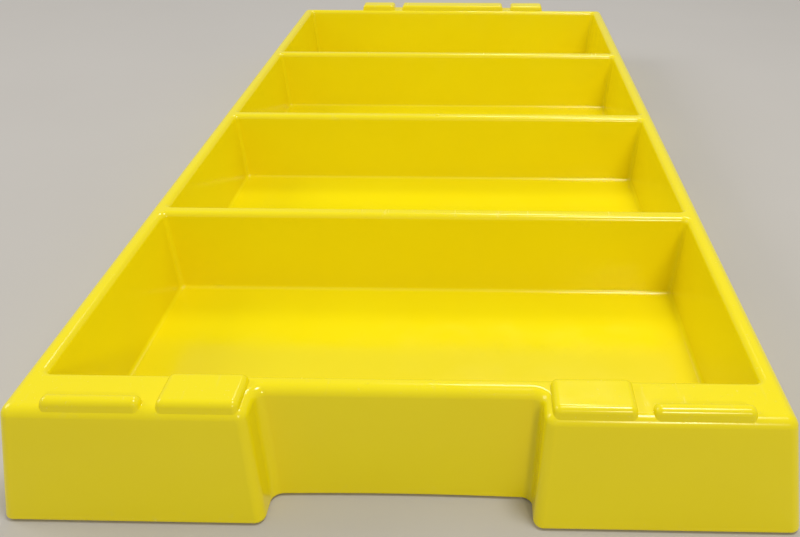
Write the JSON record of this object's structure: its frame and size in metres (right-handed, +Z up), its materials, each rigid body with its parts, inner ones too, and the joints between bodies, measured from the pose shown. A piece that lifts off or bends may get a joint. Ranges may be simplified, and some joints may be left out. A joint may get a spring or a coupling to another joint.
{
  "type": "spill containment pallet",
  "caption": "Low rectangular plastic tray with deep open cells in a row, pads on its end lugs and a screw-plug drain in the side wall of each cell.",
  "frame": {"origin": "on the ground, under the middle of the tray's overall box", "axes": "+Z up; +Y along the tray from the recessed end to the lugged end; +X to the right seen from the recessed end, towards the drains"},
  "size_m": [0.6638, 1.3024, 0.12],
  "materials": {
    "shell_plastic": "smooth, glossy yellow polyethylene",
    "base_plastic": "yellow polyethylene, satin underside",
    "drain_plastic": "black moulded polypropylene",
    "plug_plastic": "black moulded polypropylene, semi-gloss",
    "seal_rubber": "black nitrile rubber"
  },
  "bodies": {
    "tray": {"upper_shell": "shell_plastic", "base_sheet": "base_plastic", "drain_fitting_1": "drain_plastic", "drain_gasket_1": "seal_rubber", "drain_locknut_1": "drain_plastic", "drain_fitting_2": "drain_plastic", "drain_gasket_2": "seal_rubber", "drain_locknut_2": "drain_plastic", "drain_fitting_3": "drain_plastic", "drain_gasket_3": "seal_rubber", "drain_locknut_3": "drain_plastic", "drain_fitting_4": "drain_plastic", "drain_gasket_4": "seal_rubber", "drain_locknut_4": "drain_plastic"},
    "seal_1": {"plug_seal_1": "seal_rubber"},
    "plug_1": {"drain_plug_1": "plug_plastic"},
    "seal_2": {"plug_seal_2": "seal_rubber"},
    "plug_2": {"drain_plug_2": "plug_plastic"},
    "seal_3": {"plug_seal_3": "seal_rubber"},
    "plug_3": {"drain_plug_3": "plug_plastic"},
    "seal_4": {"plug_seal_4": "seal_rubber"},
    "plug_4": {"drain_plug_4": "plug_plastic"}
  },
  "joints": [
    {"name": "plug_1_travel", "type": "slide", "parent": "tray", "child": "seal_1", "axis": [1, 0, 0], "range_m": [0, 0.00907]},
    {"name": "plug_1_turn", "type": "hinge", "parent": "seal_1", "child": "plug_1", "pos_m": [0.3074, -0.5555, 0.035], "axis": [1, 0, 0], "range_deg": [0, 1800]},
    {"name": "plug_2_travel", "type": "slide", "parent": "tray", "child": "seal_2", "axis": [1, 0, 0], "range_m": [0, 0.00907]},
    {"name": "plug_2_turn", "type": "hinge", "parent": "seal_2", "child": "plug_2", "pos_m": [0.3074, -0.2575, 0.035], "axis": [1, 0, 0], "range_deg": [0, 1800]},
    {"name": "plug_3_travel", "type": "slide", "parent": "tray", "child": "seal_3", "axis": [1, 0, 0], "range_m": [0, 0.00907]},
    {"name": "plug_3_turn", "type": "hinge", "parent": "seal_3", "child": "plug_3", "pos_m": [0.3074, 0.0445, 0.035], "axis": [1, 0, 0], "range_deg": [0, 1800]},
    {"name": "plug_4_travel", "type": "slide", "parent": "tray", "child": "seal_4", "axis": [1, 0, 0], "range_m": [0, 0.00907]},
    {"name": "plug_4_turn", "type": "hinge", "parent": "seal_4", "child": "plug_4", "pos_m": [0.3074, 0.3465, 0.035], "axis": [1, 0, 0], "range_deg": [0, 1800]}
  ],
  "couplings": [
    {"joint": "plug_1_turn", "follows": "plug_1_travel", "rad_per_m": 3463.7},
    {"joint": "plug_2_turn", "follows": "plug_2_travel", "rad_per_m": 3463.7},
    {"joint": "plug_3_turn", "follows": "plug_3_travel", "rad_per_m": 3463.7},
    {"joint": "plug_4_turn", "follows": "plug_4_travel", "rad_per_m": 3463.7}
  ]
}
